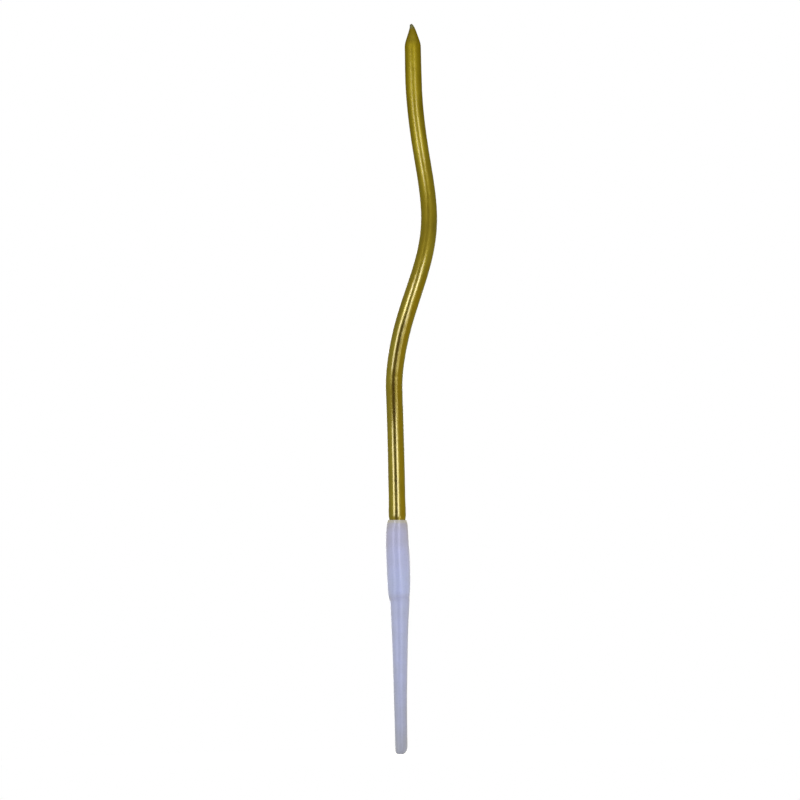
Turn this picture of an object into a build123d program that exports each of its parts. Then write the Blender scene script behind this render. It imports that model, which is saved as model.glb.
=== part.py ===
from build123d import *
import os
from math import cos, pi, radians, sin, sqrt

# Spiral birthday candle: a slim taper wound into a loose spiral, dipped in metallic lacquer,
# standing in the cup of a moulded holder whose spike goes into a cake.
# Millimetres, +Z up. The origin is on the holder's axis, at the shoulder that stops on the icing.
# The spiral climbs right-handed, and its front crossing faces -Y.

# Candle layers
candle_diameter = 4.4
coat_thickness = 0.15
wick_diameter = 0.8  # across the corners of its plait
wick_strands = 8
bond_clearance = 0.02  # between the lacquer, the wax and the wick

# Spiral: how far it winds, and how far its axis drifts from foot to neck
spiral_radius = 6.45
spiral_turns = 0.652
spiral_height = 121.4
spiral_start_angle = 178.7
drift_side = -3.7
drift_back = 4.2
spiral_breaks = (0, 0.285, 0.5, 0.716, 1)  # shares of its height where one biarc ends and the next begins

# Straight foot and pointed tip
foot_rise = 6.4  # straight foot above the cup's rim
tip_height = 4.8
tip_shoulder_height = 1.34
tip_shoulder_share = 0.846  # of the taper still to go at the tip's shoulder
tip_mouth_diameter = 1.56  # lacquer around the wick
wick_stub = 1.35
wick_chamfer = 0.12

# Holder cup, measured up from the shoulder
socket_clearance = 0.05
socket_depth = 7.0
cup_height = 21.6
belly_height = 10.8
shoulder_height = 4.2
lip_drop = 2.7  # from the rim down to where the lip starts to close in
belly_wall = 0.91
collar_wall = 0.68  # wall at the foot of the lip
lip_wall = 0.25  # wall at the rim
shoulder_wall = 0.81  # wall at the top of the shoulder
mouth_lead = 0.1

# Cored pocket under the candle's seat, which keeps the moulded wall even
seat_ledge = 0.75
pocket_floor = 4.0

# Spike, measured down from the shoulder
shoulder_step = 0.17
spike_diameter = 4.76
spike_neck_length = 3.5
spike_length = 41.9
spike_waist_depth = 18.4
spike_waist_diameter = 3.86
spike_tip_diameter = 3.24
spike_tip_chamfer = 0.4

# Radii of the candle's layers, from the outside in
core_inset = coat_thickness + bond_clearance
candle_radius = candle_diameter / 2
coat_inner_radius = candle_radius - coat_thickness
core_radius = candle_radius - core_inset
wick_radius = wick_diameter / 2
wick_bore_radius = wick_radius + bond_clearance
tip_mouth_radius = tip_mouth_diameter / 2

# Heights along the candle
seat_z = cup_height - socket_depth
spiral_base = cup_height + foot_rise

# Radii of the holder
socket_radius = candle_radius + socket_clearance
pocket_radius = socket_radius - seat_ledge
spike_radius = spike_diameter / 2
spike_tip_radius = spike_tip_diameter / 2

start_angle = radians(spiral_start_angle)
turned_angle = 2 * pi * spiral_turns


# The spiral winds in from rest and out to rest: at share u of its height it has done ease(u) of its turn
def ease(u):
    return u - sin(2 * pi * u) / (2 * pi)


def ease_rate(u):
    return 1 - cos(2 * pi * u)


# Point on the candle's centre line, with the foot on the holder's axis
def spiral_point(u):
    turned = ease(u)
    angle = start_angle + turned_angle * turned
    x = spiral_radius * (cos(angle) - cos(start_angle)) + drift_side * turned
    y = spiral_radius * (sin(angle) - sin(start_angle)) + drift_back * turned
    return Vector(x, y, spiral_base + spiral_height * u)


# Direction of the centre line, straight up at both ends
def spiral_direction(u):
    angle = start_angle + turned_angle * ease(u)
    x = (drift_side - spiral_radius * turned_angle * sin(angle)) * ease_rate(u)
    y = (drift_back + spiral_radius * turned_angle * cos(angle)) * ease_rate(u)
    return Vector(x, y, spiral_height).normalized()


# Where the two arcs of a biarc meet: both arms to it are equally long
def biarc_meeting(start, start_way, end, end_way):
    chord = end - start
    both_ways = start_way + end_way
    along = chord.dot(both_ways)
    spread = 2 * chord.dot(chord) * (1 - start_way.dot(end_way))
    arm = chord.dot(chord) / (along + sqrt(along * along + spread))
    return (start + start_way * arm + end - end_way * arm) / 2


# Centre line of the candle: the straight foot, then one biarc for each span of the spiral
with BuildLine() as centre_line:
    Line((0, 0, seat_z), spiral_point(0))
    for u_start, u_end in zip(spiral_breaks, spiral_breaks[1:]):
        span_start = spiral_point(u_start)
        span_end = spiral_point(u_end)
        way_in = spiral_direction(u_start)
        way_out = spiral_direction(u_end)
        meeting = biarc_meeting(span_start, way_in, span_end, way_out)
        lower_arc = TangentArc(span_start, meeting, tangent=way_in)
        TangentArc(meeting, span_end, tangent=lower_arc % 1)

foot_plane = Plane.XY.offset(seat_z)
neck_point = spiral_point(1)
neck_axis = Axis(neck_point, (0, 0, 1))
neck_plane = Plane(neck_point)
neck_section = Plane(neck_point, x_dir=(1, 0, 0), z_dir=(0, -1, 0))


# Half section of the pointed tip: a round shoulder running into a straight cone that closes on the wick
def tip_face(body_radius, top_radius, height):
    shoulder_radius = top_radius + (body_radius - top_radius) * tip_shoulder_share
    with BuildSketch(neck_section) as tip:
        with BuildLine():
            base = Line((0, 0), (body_radius, 0))
            shoulder = TangentArc(base @ 1, (shoulder_radius, tip_shoulder_height), tangent=(0, 1))
            cone = Line(shoulder @ 1, (top_radius, height))
            top = Line(cone @ 1, (0, height))
            Line(top @ 1, base @ 0)
        make_face()
    return tip.sketch


os.makedirs("parts", exist_ok=True)

# Plaited cotton wick, from the cut foot to the stub above the tip, with a flat for each strand
with BuildPart() as wick:
    with BuildSketch(foot_plane):
        RegularPolygon(wick_radius, wick_strands)
    sweep(path=centre_line.line)
    with BuildSketch(neck_plane):
        RegularPolygon(wick_radius, wick_strands)
    extrude(amount=tip_height + wick_stub)
    chamfer(wick.faces().sort_by(Axis.Z)[-1].edges(), wick_chamfer)
wick.part.label = "wick"
export_step(wick.part, "parts/wick.step")

# Wax core, bored for the wick along its whole length
with BuildPart() as wax_core:
    with BuildSketch(foot_plane):
        Circle(core_radius)
        RegularPolygon(wick_bore_radius, wick_strands, mode=Mode.SUBTRACT)
    sweep(path=centre_line.line)
    revolve(tip_face(core_radius, tip_mouth_radius - core_inset, tip_height - core_inset), axis=neck_axis)
    with BuildSketch(neck_plane):
        RegularPolygon(wick_bore_radius, wick_strands)
    extrude(amount=tip_height, mode=Mode.SUBTRACT)
wax_core.part.label = "wax_core"
export_step(wax_core.part, "parts/wax_core.step")

# Metallic lacquer, open at the cut foot and closed over the tip up to the wick
with BuildPart() as metallic_coat:
    with BuildSketch(foot_plane):
        Circle(candle_radius)
        Circle(coat_inner_radius, mode=Mode.SUBTRACT)
    sweep(path=centre_line.line)
    revolve(tip_face(candle_radius, tip_mouth_radius, tip_height), axis=neck_axis)
    hollow_tip = tip_face(coat_inner_radius, tip_mouth_radius - coat_thickness, tip_height - coat_thickness)
    revolve(hollow_tip, axis=neck_axis, mode=Mode.SUBTRACT)
    with BuildSketch(neck_plane):
        RegularPolygon(wick_bore_radius, wick_strands)
    extrude(amount=tip_height, mode=Mode.SUBTRACT)
metallic_coat.part.label = "metallic_coat"
export_step(metallic_coat.part, "parts/metallic_coat.step")

# One-piece holder: cup with the candle's socket, shoulder and cake spike, turned about one profile
with BuildPart() as holder:
    with BuildSketch(Plane.XZ):
        with BuildLine():
            spike_tip = Line((0, -spike_length), (spike_tip_radius - spike_tip_chamfer, -spike_length))
            spike_corner = Line(spike_tip @ 1, (spike_tip_radius, spike_tip_chamfer - spike_length))
            spike_flank = ThreePointArc(
                spike_corner @ 1,
                (spike_waist_diameter / 2, -spike_waist_depth),
                (spike_radius, -spike_neck_length),
            )
            spike_neck = Line(spike_flank @ 1, (spike_radius, 0))
            step = Line(spike_neck @ 1, (spike_radius + shoulder_step, 0))
            belly = ThreePointArc(
                (socket_radius + shoulder_wall, shoulder_height),
                (socket_radius + belly_wall, belly_height),
                (socket_radius + collar_wall, cup_height - lip_drop),
            )
            TangentArc(belly @ 0, step @ 1, tangent=belly % 0 * -1)
            lip = TangentArc(belly @ 1, (socket_radius + lip_wall, cup_height), tangent=belly % 1)
            rim = Line(lip @ 1, (socket_radius + mouth_lead, cup_height))
            lead = Line(rim @ 1, (socket_radius, cup_height - mouth_lead))
            bore = Line(lead @ 1, (socket_radius, seat_z))
            seat = Line(bore @ 1, (pocket_radius, seat_z))
            pocket = Line(seat @ 1, (pocket_radius, pocket_floor))
            floor = Line(pocket @ 1, (0, pocket_floor))
            Line(floor @ 1, spike_tip @ 0)
        make_face()
    revolve(axis=Axis.Z)
holder.part.label = "holder"
export_step(holder.part, "parts/holder.step")

candle_length = sum(edge.length for edge in centre_line.edges())
print("centre line", round(candle_length, 2), "mm, neck at", [round(value, 2) for value in neck_point])
for name, solid in (("wick", wick), ("wax_core", wax_core), ("metallic_coat", metallic_coat), ("holder", holder)):
    print(name, "volume", round(solid.part.volume, 2), "mm3")
print("lacquer section times length", round(pi * (candle_radius**2 - coat_inner_radius**2) * candle_length, 2))
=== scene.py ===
from math import cos, pi, radians, sin

import bpy
import numpy as np
from mathutils import Matrix, Vector


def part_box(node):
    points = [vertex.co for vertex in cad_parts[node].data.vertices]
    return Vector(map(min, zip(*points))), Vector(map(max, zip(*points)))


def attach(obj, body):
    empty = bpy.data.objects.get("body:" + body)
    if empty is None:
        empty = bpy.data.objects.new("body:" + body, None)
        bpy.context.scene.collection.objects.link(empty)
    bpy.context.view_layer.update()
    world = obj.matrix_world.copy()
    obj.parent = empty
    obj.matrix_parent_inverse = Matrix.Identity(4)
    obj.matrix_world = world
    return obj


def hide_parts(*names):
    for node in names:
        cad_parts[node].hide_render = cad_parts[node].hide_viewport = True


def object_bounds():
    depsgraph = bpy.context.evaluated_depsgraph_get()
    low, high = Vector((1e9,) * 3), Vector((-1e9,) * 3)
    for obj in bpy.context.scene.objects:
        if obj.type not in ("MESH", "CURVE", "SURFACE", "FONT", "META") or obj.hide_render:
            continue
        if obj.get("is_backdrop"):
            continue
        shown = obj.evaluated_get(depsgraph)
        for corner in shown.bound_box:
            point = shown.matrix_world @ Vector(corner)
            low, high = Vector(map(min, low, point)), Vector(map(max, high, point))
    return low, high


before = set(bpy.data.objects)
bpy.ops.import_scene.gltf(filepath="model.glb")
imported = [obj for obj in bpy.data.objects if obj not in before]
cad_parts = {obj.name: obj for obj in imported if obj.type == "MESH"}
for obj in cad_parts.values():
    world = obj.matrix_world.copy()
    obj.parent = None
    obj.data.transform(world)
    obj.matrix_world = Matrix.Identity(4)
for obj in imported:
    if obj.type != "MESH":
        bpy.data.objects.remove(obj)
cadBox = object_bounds()
mm = 0.001  # the scene is in metres
expLimit = 40  # keeps exp within range
print("frame loaded:", sorted(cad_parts))

coatLow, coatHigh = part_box("metallic_coat")
waxLow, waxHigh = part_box("wax_core")
wickLow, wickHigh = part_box("wick")
holderLow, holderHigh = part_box("holder")


# a new object made from its data and linked to the scene
def addObject(name, data):
    item = bpy.data.objects.new(name, data)
    bpy.context.scene.collection.objects.link(item)
    return item


# Camera: square to the front, far away, rolled a little
view = {
    "lens": 1000,
    "sensor": 36,
    "imagePixels": 800,
    "pixelsPerMm": 3.705,
    "aim": (1.33 * mm, 0, 53.95 * mm),
    "roll": 0.019,  # sideways share of up
    "clipEnd": 50,
}


# straight back from the aim by the width seen there * lens / sensor
def setCamera():
    data = bpy.data.cameras.new("camera")
    data.lens = view["lens"]
    data.sensor_width = view["sensor"]
    data.clip_end = view["clipEnd"]
    camera = addObject("camera", data)
    widthSeen = view["imagePixels"] / view["pixelsPerMm"] * mm
    distance = widthSeen * view["lens"] / view["sensor"]
    right = Vector((1, 0, -view["roll"])).normalized()
    back = Vector((0, -1, 0))
    up = back.cross(right)
    turn = Matrix((right, up, back)).transposed().to_4x4()
    camera.matrix_world = Matrix.Translation(Vector(view["aim"]) + back * distance) @ turn
    bpy.context.scene.camera = camera
    print("camera at", round(distance, 3), "m")


# Candle path
spiral = {
    "radius": 6.45 * mm,
    "turns": 0.652,
    "startAngle": 178.7,  # degrees, 180 is the left side
    "driftSide": -3.7 * mm,
    "driftBack": 4.2 * mm,
    "footRise": 6.4 * mm,  # straight foot above the cup
    "tipHeight": 4.8 * mm,
    "tipLean": 0.50 * mm,  # to the left, at the wick's end
    "leanPower": 8,  # the higher, the later the lean sets in
    # height and reach of each kink left by the winding, and its push to the right and to the back
    "kinks": [
        (59.5 * mm, 6.0 * mm, -0.25 * mm, 0),
        (60.0 * mm, 7.0 * mm, 0, -0.4 * mm),
        (78.0 * mm, 10.0 * mm, 0.17 * mm, 0),
        (101.0 * mm, 16.0 * mm, 0, 0.5 * mm),
        (136.0 * mm, 7.0 * mm, -0.05 * mm, 0),
    ],
}
spiralBase = holderHigh.z + spiral["footRise"]
neck = coatHigh.z - spiral["tipHeight"]
tangentStep = 0.02 * mm


# bell curve exp(-((value - place) / reach)^2)
def bell(value, place, reach):
    return np.exp(-(((value - place) / reach) ** 2))


# share u of the height from foot to neck, turned = u - sin(2 pi u) / 2 pi, then a circle by that turn
# plus a steady drift and the kinks, push * bell;
# above the neck the line leans with a power of the height
def candlePath(height):
    share = np.clip((height - spiralBase) / (neck - spiralBase), 0, 1)
    turned = share - np.sin(2 * pi * share) / (2 * pi)
    start = radians(spiral["startAngle"])
    angle = start + 2 * pi * spiral["turns"] * turned
    x = spiral["radius"] * (np.cos(angle) - cos(start)) + spiral["driftSide"] * turned
    y = spiral["radius"] * (np.sin(angle) - sin(start)) + spiral["driftBack"] * turned
    for place, reach, pushRight, pushBack in spiral["kinks"]:
        bump = bell(height, place, reach)
        x = x + pushRight * bump
        y = y + pushBack * bump
    tipShare = np.clip((height - neck) / (wickHigh.z - neck), 0, None)
    lean = spiral["tipLean"] * tipShare ** spiral["leanPower"]
    return np.stack([x - lean, y, height], axis=-1)


# tangent = the line a small step on, less the line a small step back
def pathTangent(path, height):
    tangent = path(height + tangentStep) - path(height - tangentStep)
    return tangent / np.linalg.norm(tangent, axis=-1, keepdims=True)


# profile carried along a path: point = centre + radius * (cos(angle) * side + sin(angle) * front),
# where side is X freed of the tangent and front is tangent x side
def carryProfile(path, radius, height, angle):
    tangent = pathTangent(path, height)
    side = np.array([1.0, 0, 0]) - tangent * tangent[:, :1]
    side /= np.linalg.norm(side, axis=-1, keepdims=True)
    front = np.cross(tangent, side)
    across = np.cos(angle)[None, :, None] * side[:, None, :]
    forward = np.sin(angle)[None, :, None] * front[:, None, :]
    return path(height)[:, None, :] + radius[..., None] * (across + forward)


# the same piece with its path pulled straight: (radius cos, radius sin, height)
def straighten(radius, height, angle):
    x = radius * np.cos(angle)
    y = radius * np.sin(angle)
    return np.stack([x, y, np.broadcast_to(height[:, None], x.shape)], axis=-1)


# values of a grid as one list; with closed ends, the means of its first and last rows come after them
def listGrid(grid, looped):
    flat = grid.reshape(-1, grid.shape[-1])
    if looped:
        return flat
    return np.concatenate([flat, grid[:1].mean(axis=1), grid[-1:].mean(axis=1)])


# quads between neighbouring rows and columns; columns wrap, and rows wrap too in a looped profile,
# else the first and last rows close on their own middle points
def surfacePiece(name, points, attributes, looped):
    rows, columns = points.shape[:2]
    index = np.arange(rows * columns).reshape(rows, columns)
    after = np.roll(index, -1, axis=1)
    above = np.roll(index, -1, axis=0)
    aboveAfter = np.roll(after, -1, axis=0)
    quads = np.stack([index, after, aboveAfter, above], axis=-1)
    faces = (quads if looped else quads[:-1]).reshape(-1, 4).tolist()
    if not looped:
        firstPole = np.full(columns, rows * columns)
        faces += np.stack([firstPole, after[0], index[0]], axis=-1).tolist()
        faces += np.stack([index[-1], after[-1], firstPole + 1], axis=-1).tolist()
    mesh = bpy.data.meshes.new(name)
    mesh.from_pydata(listGrid(points, looped), [], faces)
    mesh.shade_smooth()
    for key, grid in attributes.items():
        flat = listGrid(grid, looped)
        kind, field = ("FLOAT_VECTOR", "vector") if flat.shape[1] == 3 else ("FLOAT", "value")
        mesh.attributes.new(key, kind, "POINT").data.foreach_set(field, flat.ravel().astype(np.float32))
    mesh.validate()
    print(name, "has", len(mesh.polygons), "faces")
    return addObject(name, mesh)


# Profiles, as rows of (radius, height)
runPoints = 200
profileStep = 0.01 * mm
flatRise = 1e-12  # an arc that rises less is a straight run
axisGap = 0.02 * mm  # closed ends leave off this far from the axis


# straight run of a profile: a * (1 - share) + b * share
def lineRun(a, b, count=runPoints):
    share = np.linspace(0, 1, count)[:, None]
    return np.array(a) * (1 - share) + np.array(b) * share


# arc of a profile leaving start along way and ending at end:
# it turns by twice the chord's angle off way, and its radius is the chord squared / twice its rise off way
def arcRun(start, way, end):
    start, way, end = np.array(start), np.array(way) / np.hypot(*way), np.array(end)
    chord = end - start
    normal = np.array([-way[1], way[0]])
    rise = chord @ normal
    if abs(rise) < flatRise:
        return lineRun(start, end)
    radius = chord @ chord / (2 * rise)
    turn = np.linspace(0, 2 * np.arctan2(rise, chord @ way), runPoints)[:, None]
    return start + radius * (np.sin(turn) * way + (1 - np.cos(turn)) * normal)


# angle of a step along a profile, from the radius towards the height
def headingOf(step):
    return np.arctan2(step[..., 1], step[..., 0])


# arc of a profile through a, b and c: the way out of a is the chord a-b turned back by the angle at c
def arcThrough(a, b, c):
    toB, toC = np.array(b) - np.array(a), np.array(c) - np.array(a)
    turn = headingOf(toC - toB) - headingOf(toC)  # tangent-chord angle equals the angle at the far end
    lead = headingOf(toB) - turn
    return arcRun(a, (cos(lead), sin(lead)), c)


# even steps along a profile, then a running mean over reach, so that each corner is rounded
def softenProfile(profile, reach):
    length = np.concatenate([[0], np.cumsum(np.hypot(*np.diff(profile, axis=0).T))])
    even = np.linspace(0, length[-1], int(length[-1] / profileStep))
    run = np.stack([np.interp(even, length, profile[:, k]) for k in (0, 1)], axis=-1)
    half = max(1, int(reach / profileStep))
    weight = np.hanning(2 * half + 3)[1:-1]
    before = 2 * run[0] - run[half:0:-1]
    beyond = 2 * run[-1] - run[-2:-half - 2:-1]
    padded = np.concatenate([before, run, beyond])
    return np.stack([np.convolve(padded[:, k], weight / weight.sum(), "valid") for k in (0, 1)], axis=-1)


# rows dealt out along a profile:
# pace = (1 - turnShare) * share of its length + turnShare * share of its turning
def dealRows(profile, rows, turnShare):
    step = np.diff(profile, axis=0, append=2 * profile[-1:] - profile[-2:-1])
    length = np.hypot(*step.T)
    turning = np.abs(np.gradient(np.unwrap(headingOf(step))))
    pace = (1 - turnShare) * length / length.sum() + turnShare * turning / turning.sum()
    spent = np.concatenate([[0], np.cumsum(pace)[:-1]])
    share = np.linspace(0, spent[-1], rows)
    return np.stack([np.interp(share, spent, profile[:, k]) for k in (0, 1)], axis=-1)


# even angles round a ring: column * 2 pi / columns
def ringAngles(columns):
    return np.arange(columns) * 2 * pi / columns


# Uneven and marked surfaces
waveCount = 7
waveTurns = 4  # a wave goes round fewer times than this
waveSpread = (0.6, 1.8)  # shares of the pitch


# smooth uneven surface, mostly between -1 and 1: waves that close round the ring,
# cos(turns * angle) * cos(2 pi height / pitch), each with its own phases, over the root of their number
def unevenness(angle, height, pitch, seed):
    chance = np.random.default_rng(seed)
    turns = chance.integers(0, waveTurns, waveCount)
    pitches = pitch * chance.uniform(*waveSpread, waveCount)
    phases = chance.uniform(0, 2 * pi, (2, waveCount))
    total = np.zeros((len(height), len(angle)))
    for turn, wavePitch, ringPhase, climbPhase in zip(turns, pitches, *phases):
        ring = np.cos(turn * angle + ringPhase)
        climb = np.cos(2 * pi * height / wavePitch + climbPhase)
        total += ring[None, :] * climb[:, None]
    return total / np.sqrt(waveCount)


# shallow round pits: depth * exp(-(distance / reach)^2), distance taken along the surface
def pits(angle, height, bodyRadius, marks):
    total = np.zeros((len(height), len(angle)))
    for markHeight, markAngle, reach, depth in marks:
        across = bodyRadius * (np.mod(angle - radians(markAngle) + pi, 2 * pi) - pi)
        along = height - markHeight
        total += depth * np.exp(-(across[None, :] ** 2 + along[:, None] ** 2) / reach**2)
    return total


# Material helpers
noiseSpan = (0.3, 0.7)  # most of a noise lies between these


# a new material, its node tree and its shader
def startMaterial(name):
    material = bpy.data.materials.new(name)
    material.use_nodes = True
    tree = material.node_tree
    return material, tree, tree.nodes["Principled BSDF"]


# each input is linked if it is given a socket, else set to the value
def setInputs(tree, node, inputs):
    for key, value in inputs.items():
        if isinstance(value, bpy.types.NodeSocket):
            tree.links.new(value, node.inputs[key])
        else:
            node.inputs[key].default_value = value


# a node with its settings and inputs
def addNode(tree, kind, inputs=None, **settings):
    node = tree.nodes.new(kind)
    for key, value in settings.items():
        setattr(node, key, value)
    setInputs(tree, node, inputs or {})
    return node


# one operation on a and b
def addMath(tree, operation, a, b):
    return addNode(tree, "ShaderNodeMath", {0: a, 1: b}, operation=operation).outputs[0]


# noise over a vector, around one half
def addNoise(tree, vector, scale, detail=3, roughness=0.5):
    inputs = {"Vector": vector, "Scale": scale, "Detail": detail, "Roughness": roughness}
    return addNode(tree, "ShaderNodeTexNoise", inputs).outputs["Fac"]


# value from fromLow..fromHigh carried to toLow..toHigh, clamped
def addRange(tree, value, fromLow, fromHigh, toLow, toHigh):
    inputs = {
        "Value": value,
        "From Min": fromLow,
        "From Max": fromHigh,
        "To Min": toLow,
        "To Max": toHigh,
    }
    return addNode(tree, "ShaderNodeMapRange", inputs).outputs["Result"]


# a * (1 - fac) + b * fac, or b laid over a by another blend; 0, 6, 7 and 2 are the colour sockets
def addMix(tree, fac, a, b, blend="MIX"):
    node = addNode(tree, "ShaderNodeMix", data_type="RGBA", blend_type=blend)
    setInputs(tree, node, {0: fac, 6: a, 7: b})
    return node.outputs[2]


# eased colours between the stops, given as (position, colour)
def addRamp(tree, fac, stops):
    node = addNode(tree, "ShaderNodeValToRGB", {"Fac": fac})
    node.color_ramp.interpolation = "EASE"
    while len(node.color_ramp.elements) < len(stops):
        node.color_ramp.elements.new(1)
    for element, (position, colour) in zip(node.color_ramp.elements, sorted(stops)):
        element.position = position
        element.color = (*colour, 1)
    return node.outputs["Color"]


# first of two tones up to the start of span, second from its end
def addTones(tree, fac, tones, span=noiseSpan):
    return addRamp(tree, fac, list(zip(span, tones)))


# tone * a shade that goes with the noise
def addShades(tree, tone, noise, shades, share=1, span=noiseSpan):
    return addMix(tree, share, tone, addTones(tree, noise, shades, span), "MULTIPLY")


# vector * factors
def addScale(tree, vector, factors):
    node = addNode(tree, "ShaderNodeVectorMath", {0: vector, 1: factors}, operation="MULTIPLY")
    return node.outputs[0]


# normal leaned by the slope of height * distance, over an earlier normal if there is one
def addBump(tree, height, strength, distance, normal=None):
    inputs = {"Height": height, "Strength": strength, "Distance": distance}
    if normal:
        inputs["Normal"] = normal
    return addNode(tree, "ShaderNodeBump", inputs).outputs["Normal"]


# values that the mesh keeps under a name
def addAttribute(tree, name):
    return addNode(tree, "ShaderNodeAttribute", attribute_name=name)


# place on the straightened piece, and its height
def addPlace(tree):
    straight = addAttribute(tree, "straight").outputs["Vector"]
    return straight, addNode(tree, "ShaderNodeSeparateXYZ", {0: straight}).outputs["Z"]


# Gold lacquer coat
coat = {
    "radius": 2.2 * mm,
    "wall": 0.15 * mm,
    "tipSlope": 0.345,  # radius lost for each unit of height on the cone
    "tipShoulder": 0.7 * mm,  # where the cone's line starts, above the neck
    "tipSoft": 0.36 * mm,  # how gently the body turns into the cone
    "creep": 0.98 * mm,  # lacquer drawn up the wick
    "boreRadius": 0.40 * mm,
    "outerRound": 0.05 * mm,
    "innerRound": 0.02 * mm,
    # unevenness of the dip, in long waves and short ones
    "uneven": 0.02 * mm,
    "longPitch": 21 * mm,
    "longSeed": 3,
    "shortPitch": 5 * mm,
    "shortSeed": 8,
    "shortShare": 0.5,
    "waveLimit": 1.2,
    "waveMiddle": 0.4,
    "waveShare": 0.5,
    "heldReach": 4 * mm,  # up to this height above the rim the foot is held round by the socket
    "heldLeast": 0.15,
    # height, reach and extra radius where the dip ran thick or thin
    "swells": [
        (23.5 * mm, 2.5 * mm, 0.095 * mm),
        (32.0 * mm, 20.0 * mm, 0.10 * mm),
        (75.0 * mm, 18.0 * mm, 0.18 * mm),
        (117.0 * mm, 9.0 * mm, -0.04 * mm),
        (140.5 * mm, 5.0 * mm, 0.04 * mm),
    ],
    "swellRise": 1.2 * mm,  # they set in above the rim, none inside the cup
    "columns": 88,
    "rows": 620,
    "turnShare": 0.12,  # of the rows, spent on bends
    "innerRows": 150,
    "innerTurnShare": 0.2,
    "sidePoints": 400,
    "tipPoints": 300,
    "tipLead": 2 * mm,  # the tip's points start this far below the neck
    "throatPoints": 40,
    # height above the foot, angle from +X, reach and depth of each dent
    "dents": [
        (135.1 * mm, -52, 0.42 * mm, 0.085 * mm),
        (41.5 * mm, -118, 0.9 * mm, 0.03 * mm),
        (46.0 * mm, -70, 0.7 * mm, 0.03 * mm),
        (58.5 * mm, -100, 1.2 * mm, 0.035 * mm),
        (83.0 * mm, -60, 0.8 * mm, 0.025 * mm),
        (97.0 * mm, 60, 1.0 * mm, 0.04 * mm),
        (118.0 * mm, 150, 0.8 * mm, 0.03 * mm),
        (26.0 * mm, 95, 0.9 * mm, 0.03 * mm),
    ],
}


# radius of a layer of the candle: its body,
# less slope * soft * log(1 + exp((height - shoulder) / soft)) at the tip
def layerRadius(height, body):
    past = np.clip((height - neck - coat["tipShoulder"]) / coat["tipSoft"], -expLimit, expLimit)
    return body - coat["tipSlope"] * coat["tipSoft"] * np.log1p(np.exp(past))


# half outline of a layer from foot to top, with closer points at the tip
def layerSide(low, body, top):
    lead = neck - coat["tipLead"]
    sideHeight = np.linspace(low, lead, coat["sidePoints"])[:-1]
    height = np.concatenate([sideHeight, np.linspace(lead, top, coat["tipPoints"])])
    return np.stack([layerRadius(height, body), height], axis=-1)


# up the outside, down the throat round the wick and back inside the wall; outside,
# radius = profile + body * (swells - unevenness - dents), where body is the share of the full radius
def goldCoat():
    foot, top = coatLow.z, coatHigh.z
    wall, bore = coat["wall"], coat["boreRadius"]
    outer = layerSide(foot, coat["radius"], top + coat["creep"])
    throat = lineRun((bore, top + coat["creep"]), (bore, top - wall), coat["throatPoints"])
    inner = layerSide(foot, coat["radius"] - wall, top - wall)[::-1]
    outside = softenProfile(np.concatenate([outer, throat]), coat["outerRound"])
    inside = softenProfile(np.concatenate([throat[-1:], inner]), coat["innerRound"])
    outside = dealRows(outside, coat["rows"], coat["turnShare"])
    inside = dealRows(inside, coat["innerRows"], coat["innerTurnShare"])
    profile = np.concatenate([outside, inside[1:]])
    angle = ringAngles(coat["columns"])
    height = profile[:, 1]
    isOuter = (np.arange(len(height)) < len(outside)).astype(float)[:, None]
    body = np.clip(profile[:, 0] / coat["radius"], 0, 1)[:, None]
    aboveRim = height - holderHigh.z
    longWave = unevenness(angle, height, coat["longPitch"], coat["longSeed"])
    shortWave = unevenness(angle, height, coat["shortPitch"], coat["shortSeed"])
    wave = (longWave + coat["shortShare"] * shortWave).clip(-coat["waveLimit"], coat["waveLimit"])
    free = np.clip(aboveRim / coat["heldReach"], coat["heldLeast"], 1)[:, None]
    hollow = free * coat["uneven"] * (coat["waveMiddle"] - coat["waveShare"] * wave)
    swell = sum(extra * bell(height, place, reach) for place, reach, extra in coat["swells"])
    clear = np.sin(0.5 * pi * np.clip(aboveRim / coat["swellRise"], 0, 1))
    marks = [(foot + rise, turn, reach, depth) for rise, turn, reach, depth in coat["dents"]]
    dent = pits(angle, height, coat["radius"], marks)
    proud = (swell * clear)[:, None] - hollow - dent
    radius = profile[:, :1] + isOuter * body * proud
    points = carryProfile(candlePath, radius, height, angle)
    attributes = {"straight": straighten(radius, height, angle)}
    piece = surfacePiece("gold_coat", points, attributes, looped=True)
    piece.data.materials.append(goldLacquer())
    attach(piece, "candle")
    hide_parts("metallic_coat")


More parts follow.
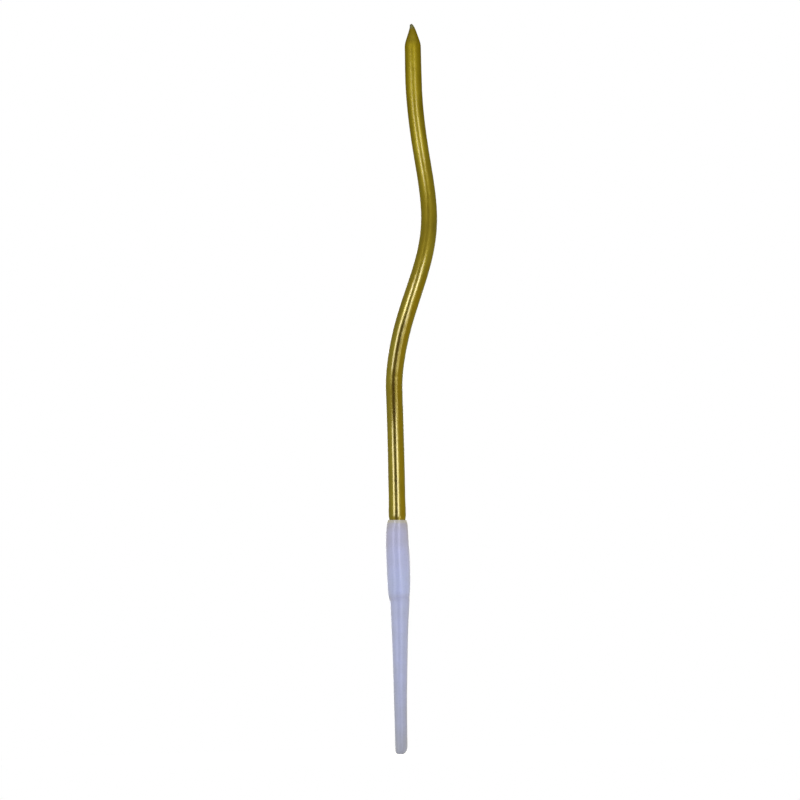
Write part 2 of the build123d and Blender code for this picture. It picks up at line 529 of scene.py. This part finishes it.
lacquer = {
    # noise and tone of the mottling, which is drawn out along the dip
    "tones": [
        (0.25, (0.274, 0.217, 0.011)),
        (0.5, (0.327, 0.267, 0.015)),
        (0.75, (0.375, 0.315, 0.021)),
    ],
    "mottleScale": 900,
    "drawnOut": (1, 1, 0.22),
    "cloudScale": 130,
    "cloudShades": [(0.90, 0.88, 0.82), (1.07, 1.06, 1.1)],
    "cloudDull": (-0.025, 0.03),  # roughness added
    "flakeScale": 7000,
    "flakeShades": [(0.88, 0.87, 0.8), (1.1, 1.1, 1.15)],
    "flakeShare": 0.8,
    "speck": (0.170, 0.115, 0.010),
    "speckScale": 1500,
    "speckSpan": (0.74, 0.78),
    "speckShare": 0.6,
    "cone": (0.92, 0.92, 1.3),  # share of the tone that is left on the pointed tip
    "coneDull": 0.14,  # roughness added there
    "coneSpan": (neck + 0.2 * mm, neck + 1.8 * mm),
    "bare": (0.235, 0.245, 0.115),  # where it thins out over the wick
    "bareSpan": (coatHigh.z - 0.2 * mm, coatHigh.z + 0.7 * mm),
    "edge": (0.55, 0.46, 0.16, 1),  # tint of the gloss at a flat angle
    # heights where the roughness changes its pace, and the roughness there
    "dulling": [(62 * mm, 0.28), (130 * mm, 0.44), (148 * mm, 0.54)],
    "clearFull": 68 * mm,  # up to here clear lacquer covers the flake
    "clearNone": 150 * mm,
    "clearIor": 1.9,
    "clearRoughness": 0.21,
    "peelScale": 1300,
    "peelStrength": 0.07,
    "peelDepth": 0.02 * mm,
    "grainPlace": 57 * mm,  # grainy where the bend crazed it
    "grainReach": 13 * mm,
    "grainLeast": 0.04,
    "grainStrength": 0.14,
    "grainDepth": 0.01 * mm,
}


# mottling, clouds, flake and specks set the tone; roughness grows with height in two straight runs
# while the clear layer thins out; orange peel and grain are bump
def goldLacquer():
    material, tree, shader = startMaterial("gold_lacquer")
    straight, height = addPlace(tree)
    drawn = addScale(tree, straight, lacquer["drawnOut"])
    mottle = addNoise(tree, drawn, lacquer["mottleScale"], detail=4, roughness=0.6)
    cloud = addNoise(tree, straight, lacquer["cloudScale"])
    flake = addNoise(tree, straight, lacquer["flakeScale"], detail=2, roughness=0.6)
    tone = addRamp(tree, mottle, lacquer["tones"])
    tone = addShades(tree, tone, cloud, lacquer["cloudShades"])
    tone = addShades(tree, tone, flake, lacquer["flakeShades"], lacquer["flakeShare"])
    dust = addNoise(tree, straight, lacquer["speckScale"], detail=1, roughness=0.4)
    speck = addRange(tree, dust, *lacquer["speckSpan"], 0, lacquer["speckShare"])
    tone = addMix(tree, speck, tone, (*lacquer["speck"], 1))
    onCone = addRange(tree, height, *lacquer["coneSpan"], 0, 1)
    tone = addMix(tree, onCone, tone, (*lacquer["cone"], 1), "MULTIPLY")
    thin = addRange(tree, height, *lacquer["bareSpan"], 0, 1)
    tone = addMix(tree, thin, tone, (*lacquer["bare"], 1))
    (lowEnd, lowRough), (middle, midRough), (highEnd, highRough) = lacquer["dulling"]
    rough = addRange(tree, height, lowEnd, middle, lowRough, midRough)
    rough = addMath(tree, "ADD", rough, addRange(tree, height, middle, highEnd, 0, highRough - midRough))
    rough = addMath(tree, "ADD", rough, addRange(tree, cloud, *noiseSpan, *lacquer["cloudDull"]))
    rough = addMath(tree, "ADD", rough, addMath(tree, "MULTIPLY", onCone, lacquer["coneDull"]))
    clear = addRange(tree, height, lacquer["clearFull"], lacquer["clearNone"], 1, 0)
    ripple = addNoise(tree, drawn, lacquer["peelScale"], detail=2)
    peel = addBump(tree, ripple, lacquer["peelStrength"], lacquer["peelDepth"])
    away = addMath(tree, "ABSOLUTE", addMath(tree, "SUBTRACT", height, lacquer["grainPlace"]), 0)
    grainy = addRange(tree, away, 0, lacquer["grainReach"], 1, lacquer["grainLeast"])
    crazing = addMath(tree, "MULTIPLY", flake, grainy)
    grain = addBump(tree, crazing, lacquer["grainStrength"], lacquer["grainDepth"], peel)
    shader.inputs["Metallic"].default_value = 1
    shader.inputs["Specular Tint"].default_value = lacquer["edge"]
    shader.inputs["Coat Roughness"].default_value = lacquer["clearRoughness"]
    shader.inputs["Coat IOR"].default_value = lacquer["clearIor"]
    setInputs(tree, shader, {"Base Color": tone, "Roughness": rough, "Coat Weight": clear})
    setInputs(tree, shader, {"Normal": grain, "Coat Normal": peel})
    return material


# Wax core
wax = {
    "radius": 2.03 * mm,
    "boreRadius": 0.425 * mm,
    "edgeRound": 0.04 * mm,
    "columns": 72,
    "rows": 260,
    "turnShare": 0.3,
    "boreRows": 90,
    "cutRows": 40,
    "cutMarks": 0.02 * mm,  # ridges left by the knife at the foot
    "cutPitch": 0.34 * mm,
    "cutSlant": 0.3,
}


# up the side, down the bore and out over the cut face, which the knife marks raise
# by marks * (half + half * sin(2 pi (x + slant * y) / pitch))
def waxCore():
    foot, top = waxLow.z, waxHigh.z
    bore = wax["boreRadius"]
    outer = layerSide(foot, wax["radius"], top)
    outside = softenProfile(np.concatenate([outer, [(bore, top)]]), wax["edgeRound"])
    outside = dealRows(outside, wax["rows"], wax["turnShare"])
    boreRun = lineRun((bore, top), (bore, foot), wax["boreRows"])
    cutFace = lineRun((bore, foot), (wax["radius"], foot), wax["cutRows"])
    profile = np.concatenate([outside, boreRun[1:], cutFace[1:-1]])
    angle = ringAngles(wax["columns"])
    radius = np.broadcast_to(profile[:, :1], (len(profile), len(angle)))
    height = profile[:, 1]
    points = carryProfile(candlePath, radius, height, angle)
    onCut = (np.arange(len(height)) >= len(outside) + len(boreRun) - 2)[:, None]
    slanted = points[..., 0] + wax["cutSlant"] * points[..., 1]
    ridge = 0.5 + 0.5 * np.sin(2 * pi * slanted / wax["cutPitch"])
    points[..., 2] += onCut * wax["cutMarks"] * ridge
    attributes = {"straight": straighten(radius, height, angle)}
    piece = surfacePiece("wax_rod", points, attributes, looped=True)
    piece.data.materials.append(paraffin())
    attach(piece, "candle")
    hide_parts("wax_core")


paraffinWax = {
    "tones": [(0.80, 0.73, 0.56), (0.88, 0.83, 0.70)],
    "cloudScale": 420,
    "roughness": (0.32, 0.5),
    "grainScale": 3500,
    "grainStrength": 0.3,
    "grainDepth": 0.02 * mm,
    # light passing through: its share, and how far each colour goes
    "through": 0.2,
    "throughRadius": (1.0, 0.8, 0.5),
    "throughScale": 0.8 * mm,
}


# cloudy ivory, a little light passing through, fine scraped grain
def paraffin():
    material, tree, shader = startMaterial("paraffin_wax")
    straight = addAttribute(tree, "straight").outputs["Vector"]
    cloud = addNoise(tree, straight, paraffinWax["cloudScale"], detail=4, roughness=0.55)
    tone = addTones(tree, cloud, paraffinWax["tones"])
    grain = addNoise(tree, straight, paraffinWax["grainScale"], roughness=0.6)
    rough = addRange(tree, grain, *noiseSpan, *paraffinWax["roughness"])
    scraped = addBump(tree, grain, paraffinWax["grainStrength"], paraffinWax["grainDepth"])
    shader.inputs["Subsurface Weight"].default_value = paraffinWax["through"]
    shader.inputs["Subsurface Radius"].default_value = paraffinWax["throughRadius"]
    shader.inputs["Subsurface Scale"].default_value = paraffinWax["throughScale"]
    setInputs(tree, shader, {"Base Color": tone, "Roughness": rough, "Normal": scraped})
    return material


# Braided wick
braid = {
    "radius": 0.385 * mm,
    "strands": 4,  # each way round
    "pitch": 3.2 * mm,  # height of one turn of a strand
    "relief": 0.075 * mm,
    "fuzz": 0.12,  # share of the relief
    "fuzzPitch": 0.9 * mm,
    "fuzzSeed": 21,
    "columns": 64,
    "rows": 1100,
    "turnShare": 0.1,
    "sidePoints": 900,
    "endRound": 0.22 * mm,
    "cutDrop": 0.1 * mm,  # room for the leaning end
}


# radius = body less relief where neither lay of strands stands up;
# a lay stands up as cos(strands * (angle -+ climb)), and the two take turns on top
def cottonWick():
    foot, top = wickLow.z, wickHigh.z - braid["cutDrop"]
    side = lineRun((braid["radius"], foot), (braid["radius"], top), braid["sidePoints"])
    profile = np.concatenate([[(axisGap, foot)], side, [(axisGap, top)]])
    profile = dealRows(softenProfile(profile, braid["endRound"]), braid["rows"], braid["turnShare"])
    angle = ringAngles(braid["columns"])
    height = profile[:, 1]
    climb = 2 * pi * height[:, None] / braid["pitch"]
    left = np.cos(braid["strands"] * (angle - climb))
    right = np.cos(braid["strands"] * (angle + climb))
    weave = np.cos(braid["strands"] * climb) * np.cos(braid["strands"] * angle)
    lay = np.where(weave > 0, left, right)
    stand = np.abs(0.5 * np.maximum(left, right) + 0.5 * lay)
    body = np.clip(profile[:, :1] / braid["radius"], 0, 1)
    fuzz = unevenness(angle, height, braid["fuzzPitch"], braid["fuzzSeed"]).clip(-1, 1)
    sunk = (0.5 - 0.5 * stand * np.sign(lay) + braid["fuzz"] * fuzz).clip(0, 1)
    radius = profile[:, :1] - body * braid["relief"] * sunk
    points = carryProfile(candlePath, radius, height, angle)
    attributes = {
        "straight": straighten(radius, height, angle),
        # which lay is on top; the material paints shade between the strands from it
        "stand": (0.5 + 0.5 * lay)[..., None],
    }
    piece = surfacePiece("braided_wick", points, attributes, looped=False)
    piece.data.materials.append(cotton())
    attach(piece, "candle")
    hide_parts("wick")


cottonThread = {
    # painted shade between the strands, then the tone on top of them
    "dyedWithStrandShade": [(0.045, 0.042, 0.010), (0.150, 0.140, 0.040)],
    "undyedWithStrandShade": [(0.385, 0.363, 0.286), (0.70, 0.66, 0.52)],  # inside the wax
    "strandShadeSpan": (0.1, 0.8),
    "dyedSpan": (neck, neck + 2 * mm),
    "drawnOut": (1, 1, 0.3),  # fibres run along the wick
    "fibreScale": 9000,
    "fibreSpan": (0.25, 0.75),
    "fibreShades": [(0.75, 0.75, 0.75), (1.15, 1.15, 1.15)],
    "fibreStrength": 0.6,
    "fibreDepth": 0.02 * mm,
    "roughness": 0.85,
    "sheen": 0.25,
}


# painted shade between the strands; olive from the dip above the neck, undyed below; fibres are shade and
# bump
def cotton():
    material, tree, shader = startMaterial("wick_cotton")
    straight, height = addPlace(tree)
    stand = addAttribute(tree, "stand").outputs["Fac"]
    drawn = addScale(tree, straight, cottonThread["drawnOut"])
    fibre = addNoise(tree, drawn, cottonThread["fibreScale"], roughness=0.6)
    # each pair of tones paints shade between the strands and the plain tone on top of them
    dyedWithStrandShade = addTones(tree, stand, cottonThread["dyedWithStrandShade"], cottonThread["strandShadeSpan"])
    undyedWithStrandShade = addTones(tree, stand, cottonThread["undyedWithStrandShade"], cottonThread["strandShadeSpan"])
    dipped = addRange(tree, height, *cottonThread["dyedSpan"], 0, 1)
    tone = addMix(tree, dipped, undyedWithStrandShade, dyedWithStrandShade)
    tone = addShades(tree, tone, fibre, cottonThread["fibreShades"], span=cottonThread["fibreSpan"])
    fibrous = addBump(tree, fibre, cottonThread["fibreStrength"], cottonThread["fibreDepth"])
    shader.inputs["Roughness"].default_value = cottonThread["roughness"]
    shader.inputs["Sheen Weight"].default_value = cottonThread["sheen"]
    setInputs(tree, shader, {"Base Color": tone, "Normal": fibrous})
    return material


# Moulded holder
holder = {
    "socketRadius": 2.25 * mm,
    "socketDepth": 7.0 * mm,
    "lipDrop": 2.7 * mm,
    "bellyHeight": 10.8 * mm,
    "shoulderHeight": 4.2 * mm,
    "lipWall": 0.25 * mm,
    "collarWall": 0.68 * mm,
    "bellyWall": 0.91 * mm,
    "shoulderWall": 0.81 * mm,
    "mouthLead": 0.1 * mm,
    "seatLedge": 0.75 * mm,
    "pocketFloor": 4.0 * mm,
    "spikeRadius": 2.38 * mm,
    "shoulderFoot": 0.7 * mm,  # where the neck's flare meets the shoulder
    "crease": 0.07 * mm,  # by which the shoulder overhangs the neck there
    "neckLength": 3.5 * mm,
    "waistDepth": 18.4 * mm,
    "waistRadius": 1.93 * mm,
    "tipRadius": 1.64 * mm,
    "tipRound": 0.9 * mm,
    "tipLift": 0.28 * mm,  # worn off the very end
    "tipWorn": 0.62 * mm,  # more of the right corner gone, at the very end
    "tipWornHeight": 2.3 * mm,
    "wornPower": 2.2,  # the higher, the closer to the end
    "wornAround": 1.5,  # the higher, the closer to the right
    "neckFlare": 0.38 * mm,  # spreads into the shoulder
    "neckFlareReach": 2.6 * mm,
    "edgeRound": 0.09 * mm,
    "columns": 120,
    "rows": 460,
    "turnShare": 0.35,
    "rimPoints": 20,
    "ledgePoints": 60,
    "partingLine": 0.022 * mm,
    "partingReach": 0.11 * mm,
    "sway": 0.015 * mm,  # unevenness of the wall
    "swayPitch": 26 * mm,
    "swaySeed": 5,
    "plainRadius": 1.5 * mm,  # from here to the axis the marks fade out
    # height, angle from +X, reach and depth: the gate mark on the spike and a nick in the cup
    "marks": [
        (-38.9 * mm, -92, 0.22 * mm, 0.07 * mm),
        (14.8 * mm, -2, 0.30 * mm, 0.06 * mm),
    ],
}

# slight crook that the moulding took as it cooled; each push is to the right
crook = {
    "bend": 0.4 * mm,  # height where the neck's push gives way to the cup's
    "bendSoft": 0.5 * mm,
    "neckPush": 0.30 * mm,
    "neckReach": 9 * mm,
    "cupPush": 0.09 * mm,
    "cupHeight": 4.5 * mm,
    "cupReach": 5 * mm,
    "collarPush": -0.15 * mm,
    "collarHeight": 16.5 * mm,
    "collarReach": 4.5 * mm,
    "endPush": -0.09 * mm,
    "endStart": -12 * mm,
    "endReach": 14 * mm,
}


# axis of the moulding: upright, but the neck is pushed by push * exp(height / reach) below the bend,
# the cup and its collar by push * bell, and the end of the spike by a straight run
def holderPath(height):
    past = np.clip((height - crook["bend"]) / crook["bendSoft"], -expLimit, expLimit)
    below = 1 / (1 + np.exp(past))
    push = crook["neckPush"] * below * np.exp(np.clip(height, None, 0) / crook["neckReach"])
    push = push + crook["cupPush"] * (1 - below) * bell(height, crook["cupHeight"], crook["cupReach"])
    push = push + crook["collarPush"] * bell(height, crook["collarHeight"], crook["collarReach"])
    push = push + crook["endPush"] * np.clip((crook["endStart"] - height) / crook["endReach"], 0, 1)
    return np.stack([push, 0 * height, height], axis=-1)


# up the spike, shoulder, belly and lip, then down the socket to its pocket;
# outside, radius = profile + body * (parting ridge + sway - wear - marks)
def mouldedHolder():
    socket, rim, bottom = holder["socketRadius"], holderHigh.z, holderLow.z + holder["tipLift"]
    seat = rim - holder["socketDepth"]
    tipEdge = (holder["tipRadius"] - holder["tipRound"], bottom)
    tip = (holder["tipRadius"], bottom + holder["tipRound"])
    neckLow = (holder["spikeRadius"], -holder["neckLength"])
    foot = holder["shoulderFoot"]
    flared = (holder["spikeRadius"] + holder["neckFlare"] + holder["crease"], foot)
    shoulderTop = (socket + holder["shoulderWall"], holder["shoulderHeight"])
    bellyTop = (socket + holder["collarWall"], rim - holder["lipDrop"])
    flank = arcThrough(tip, (holder["waistRadius"], -holder["waistDepth"]), neckLow)
    belly = arcThrough(shoulderTop, (socket + holder["bellyWall"], holder["bellyHeight"]), bellyTop)
    shoulder = arcRun(shoulderTop, belly[0] - belly[1], flared)[::-1]
    lip = arcRun(bellyTop, belly[-1] - belly[-2], (socket + holder["lipWall"], rim))
    pocket = socket - holder["seatLedge"]
    neckRun = lineRun(neckLow, (holder["spikeRadius"], foot))
    spike = np.concatenate([lineRun((0, bottom), tipEdge), arcRun(tipEdge, (1, 0), tip), flank, neckRun])
    # towards the shoulder the neck spreads by flare * exp((height - foot) / reach)
    spike[:, 0] += holder["neckFlare"] * np.exp((spike[:, 1] - foot) / holder["neckFlareReach"])
    runs = [
        spike,
        shoulder,
        belly,
        lip,
        lineRun(lip[-1], (socket + holder["mouthLead"], rim), holder["rimPoints"]),
        lineRun((socket, rim - holder["mouthLead"]), (socket, seat)),
        lineRun((socket, seat), (pocket, seat), holder["ledgePoints"]),
        lineRun((pocket, seat), (pocket, holder["pocketFloor"])),
        lineRun((pocket, holder["pocketFloor"]), (0, holder["pocketFloor"])),
    ]
    profile = softenProfile(np.concatenate(runs), holder["edgeRound"])
    profile = dealRows(profile, holder["rows"], holder["turnShare"])
    profile = profile[profile[:, 0] > axisGap]
    angle = ringAngles(holder["columns"])
    height = profile[:, 1]
    outside = (np.arange(len(height)) < np.argmax(height)).astype(float)[:, None]
    # parting line: a fine ridge at both sides, line * bell of the distance round from the side
    away = profile[:, :1] * np.abs(np.mod(angle + pi / 2, pi) - pi / 2)
    ridge = holder["partingLine"] * bell(away, 0, holder["partingReach"])
    sway = holder["sway"] * unevenness(angle, height, holder["swayPitch"], holder["swaySeed"]).clip(-1, 1)
    body = np.clip(profile[:, :1] / holder["plainRadius"], 0, 1)
    # the end is worn on its right
    worn = np.clip(1 - (height - bottom) / holder["tipWornHeight"], 0, 1) ** holder["wornPower"]
    worn = holder["tipWorn"] * worn[:, None] * (0.5 + 0.5 * np.cos(angle)) ** holder["wornAround"]
    mark = pits(angle, height, holder["waistRadius"], holder["marks"])
    radius = profile[:, :1] + outside * body * (ridge + sway - worn - mark)
    points = carryProfile(holderPath, radius, height, angle)
    attributes = {"straight": straighten(radius, height, angle)}
    piece = surfacePiece("cup_holder", points, attributes, looped=False)
    piece.data.materials.append(milkyPlastic())
    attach(piece, "holder")
    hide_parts("holder")


milky = {
    # height and tone, from the end of the spike to the rim, darker and greyer towards the spike's end,
    # with painted shade at the shoulder and where the candle's foot shows through the collar and lip, and
    # a painted reflection of the gold foot on the rim
    "tones": [
        (holderLow.z, (0.368, 0.388, 0.490)),
        (-33 * mm, (0.372, 0.398, 0.545)),
        (-14 * mm, (0.432, 0.466, 0.686)),  # spike
        (-1.2 * mm, (0.432, 0.466, 0.686)),
        (0.7 * mm, (0.400, 0.424, 0.620)),  # shoulder, painted shade under its downward face
        (2.4 * mm, (0.444, 0.487, 0.738)),  # cup
        (5 * mm, (0.444, 0.487, 0.738)),
        (11 * mm, (0.437, 0.463, 0.697)),  # belly
        (17.5 * mm, (0.428, 0.430, 0.610)),  # collar, painted shade of the candle's foot through the thin wall
        (20.4 * mm, (0.410, 0.402, 0.500)),  # lip, painted shade of the candle's foot through the thin wall
        (21.2 * mm, (0.455, 0.432, 0.370)),  # rim, painted reflection of the gold foot
    ],
    "flowScale": 900,
    "drawnOut": (1, 1, 0.05),  # flow streaks run along the mould
    "flowShades": [(0.96, 0.96, 0.965), (1.035, 1.035, 1.035)],
    "flowStrength": 0.25,
    "flowDepth": 0.05 * mm,
    "cloudScale": 260,
    "cloudShades": [(0.97, 0.97, 0.95), (1.02, 1.02, 1.04)],
    "roughness": (0.24, 0.36),
    "fineScale": 2600,
    "fineStrength": 0.2,
    "fineDepth": 0.01 * mm,
    "sheen": 0.18,
    "sheenTint": (1, 0.92, 0.6, 1),
    "sheenRoughness": 0.35,
    # light passing through: its share, and how far each colour goes
    "through": 0.12,
    "throughRadius": (0.8, 0.8, 1.0),
    "throughScale": 0.6 * mm,
}


# tone by share of the height, painted shade and a painted reflection included, * flow streaks drawn along
# the mould,
# * faint clouds; soft gloss with fine bump
def milkyPlastic():
    material, tree, shader = startMaterial("holder_plastic")
    straight, height = addPlace(tree)
    span = holderHigh.z - holderLow.z
    share = addRange(tree, height, holderLow.z, holderHigh.z, 0, 1)
    stops = [((place - holderLow.z) / span, colour) for place, colour in milky["tones"]]
    # the ramp paints shade at the shoulder, collar and lip, and a reflection of the gold foot at the rim
    tone = addRamp(tree, share, stops)
    drawn = addScale(tree, straight, milky["drawnOut"])
    flow = addNoise(tree, drawn, milky["flowScale"])
    tone = addShades(tree, tone, flow, milky["flowShades"])
    cloud = addNoise(tree, straight, milky["cloudScale"])
    tone = addShades(tree, tone, cloud, milky["cloudShades"])
    fine = addNoise(tree, straight, milky["fineScale"], roughness=0.55)
    rough = addRange(tree, fine, *noiseSpan, *milky["roughness"])
    wavy = addBump(tree, flow, milky["flowStrength"], milky["flowDepth"])
    skin = addBump(tree, fine, milky["fineStrength"], milky["fineDepth"], wavy)
    shader.inputs["Sheen Weight"].default_value = milky["sheen"]
    shader.inputs["Sheen Tint"].default_value = milky["sheenTint"]
    shader.inputs["Sheen Roughness"].default_value = milky["sheenRoughness"]
    shader.inputs["Subsurface Weight"].default_value = milky["through"]
    shader.inputs["Subsurface Radius"].default_value = milky["throughRadius"]
    shader.inputs["Subsurface Scale"].default_value = milky["throughScale"]
    setInputs(tree, shader, {"Base Color": tone, "Roughness": rough, "Normal": skin})
    return material


# Studio
studio = {
    "worldFill": (0.96, 0.92, 0.825),  # what lights matt surfaces, a little warm from all round
    "frontFill": 0.457,  # cool sun from the camera's side, for matt surfaces only
    "frontTint": (0.05, 0.34, 1),
    "frontSpread": 20,  # degrees
    "stripDistance": 0.6,
    "stripWidth": 0.15,
    "cool": (1, 1.01, 1.35),
    "warm": (1, 0.95, 0.8),
    # azimuth from the camera's side, right is positive, then ends, radiance and tint of each strip light
    "strips": [
        (-41, (-0.055, 0.14), 4.0, "cool"),
        (-32, (0.14, 0.46), 5.8, "cool"),
        (17, (-0.10, 0.14), 3.8, "cool"),
        (23.5, (0.14, 0.44), 5.8, "cool"),
        (37, (-0.18, -0.09), 2.6, "warm"),
        (173, (-0.19, 0.44), 2.8, "cool"),
        (-166, (-0.19, 0.44), 2.8, "cool"),
    ],
    # azimuths, low and high end, distance and glow of the cards that only the gloss sees
    "cards": [
        ((-90, 0), (-0.9, -0.15), 1.1, (0.50, 0.43, 0.09)),
        ((-90, 0), (-0.15, 0.45), 1.1, (0.50, 0.48, 0.14)),
        ((-90, 0), (0.45, 1.5), 1.1, (0.50, 0.43, 0.10)),
        ((0, 90), (-0.9, -0.15), 1.1, (0.50, 0.43, 0.09)),
        ((0, 90), (-0.15, 0.45), 1.1, (0.50, 0.48, 0.14)),
        ((0, 90), (0.45, 1.5), 1.1, (0.50, 0.43, 0.10)),
        ((-168, -90), (-0.9, 1.5), 1.1, (0.42, 0.40, 0.12)),
        ((90, 168), (-0.9, 1.5), 1.1, (0.42, 0.40, 0.12)),
        ((42, 110), (-0.25, 0.10), 0.3, (0.52, 0.41, 0.04)),
        ((-32, 12), (-0.9, -0.06), 0.72, (0.085, 0.040, 0.001)),
        ((-32, 12), (-0.06, 0.12), 0.72, (0.02, 0.012, 0.001)),
        ((-32, 12), (0.12, 0.45), 0.72, (0.11, 0.10, 0.02)),
        ((-32, 12), (0.45, 1.5), 0.72, (0.36, 0.30, 0.06)),
    ],
    "floorRadius": 0.11,
    "floorSides": 96,
    "floorDrop": 0.05 * mm,  # below the spike's end
    "floorTone": (0.86, 0.86, 0.86, 1),
    "floorRoughness": 0.9,
    "floorGloss": 0.1,
    "floorLift": 0.5,  # glow added for what looks at it
}


# point at an azimuth round the object, 0 is towards the camera
def around(azimuth, distance, height):
    return Vector((sin(radians(azimuth)) * distance, -cos(radians(azimuth)) * distance, height))


# 1 for camera, glossy and transmission rays, 0 for the rest
def pageWhite(tree):
    rays = addNode(tree, "ShaderNodeLightPath").outputs
    seen = addMath(tree, "MAXIMUM", rays["Is Camera Ray"], rays["Is Glossy Ray"])
    return addMath(tree, "MAXIMUM", seen, rays["Is Transmission Ray"])


# white for the rays that look at the page, the fill for the rest
def setWorld():
    world = bpy.data.worlds.new("studio")
    bpy.context.scene.world = world
    world.use_nodes = True
    tree = world.node_tree
    level = addMix(tree, pageWhite(tree), (*studio["worldFill"], 1), (1, 1, 1, 1))
    tree.links.new(level, tree.nodes["Background"].inputs["Color"])


# soft sun shining straight from the camera's side
def setFront():
    front = bpy.data.lights.new("front", "SUN")
    front.energy = studio["frontFill"]
    front.color = studio["frontTint"]
    front.angle = radians(studio["frontSpread"])
    sun = addObject("front", front)
    sun.rotation_euler = (pi / 2, 0, 0)
    sun.visible_glossy = False


# upright strip light that only the gloss sees: energy = radiance * pi * its area
def setStrip(azimuth, low, high, radiance, tint):
    strip = bpy.data.lights.new("strip", "AREA")
    strip.shape = "RECTANGLE"
    strip.size = studio["stripWidth"]
    strip.size_y = high - low
    strip.energy = radiance * pi * studio["stripWidth"] * (high - low)
    strip.color = tint
    lamp = addObject("strip", strip)
    lamp.location = around(azimuth, studio["stripDistance"], (low + high) / 2)
    lamp.rotation_euler = (pi / 2, 0, radians(azimuth))
    lamp.visible_camera = False
    lamp.visible_diffuse = False


# upright glowing panel between two azimuths
def setCard(name, azimuths, low, high, distance, glow):
    left, right = (around(azimuth, distance, low) for azimuth in azimuths)
    rise = Vector((0, 0, high - low))
    mesh = bpy.data.meshes.new(name)
    mesh.from_pydata([left, right, right + rise, left + rise], [], [(0, 1, 2, 3)])
    panel = addObject(name, mesh)
    material, _, shader = startMaterial(name)
    shader.inputs["Base Color"].default_value = (0, 0, 0, 1)
    shader.inputs["Specular IOR Level"].default_value = 0
    shader.inputs["Emission Color"].default_value = (*glow, 1)
    shader.inputs["Emission Strength"].default_value = 1
    mesh.materials.append(material)
    panel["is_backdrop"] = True
    panel.visible_camera = False
    panel.visible_diffuse = False
    panel.visible_shadow = False


# round pale floor just below the spike's end, lifted towards white for what looks at it,
# so that only the shadow tells
def setFloor():
    sides = studio["floorSides"]
    turn = ringAngles(sides)
    ring = np.stack([np.cos(turn), np.sin(turn), 0 * turn], axis=-1) * studio["floorRadius"]
    ring = ring + np.array([0, 0, holderLow.z - studio["floorDrop"]])
    mesh = bpy.data.meshes.new("floor")
    mesh.from_pydata(ring, [], [list(range(sides))])
    floor = addObject("floor", mesh)
    material, tree, shader = startMaterial("floor")
    shader.inputs["Base Color"].default_value = studio["floorTone"]
    shader.inputs["Roughness"].default_value = studio["floorRoughness"]
    shader.inputs["Specular IOR Level"].default_value = studio["floorGloss"]
    shader.inputs["Emission Color"].default_value = (1, 1, 1, 1)
    lift = addMath(tree, "MULTIPLY", pageWhite(tree), studio["floorLift"])
    tree.links.new(lift, shader.inputs["Emission Strength"])
    mesh.materials.append(material)
    floor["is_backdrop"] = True


# page, sun, strips, cards and floor
def setStudio():
    bpy.context.scene.view_settings.view_transform = "Standard"
    setWorld()
    setFront()
    for azimuth, (low, high), radiance, tint in studio["strips"]:
        setStrip(azimuth, low, high, radiance, studio[tint])
    for k, (azimuths, (low, high), distance, glow) in enumerate(studio["cards"]):
        setCard("card%d" % k, azimuths, low, high, distance, glow)
    setFloor()
    print("studio set")


setCamera()
setStudio()
goldCoat()
waxCore()
cottonWick()
mouldedHolder()

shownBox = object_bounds()
growth = [[round((s - c) / mm, 3) for s, c in zip(*corners)] for corners in zip(shownBox, cadBox)]
print("box grows by mm:", growth)
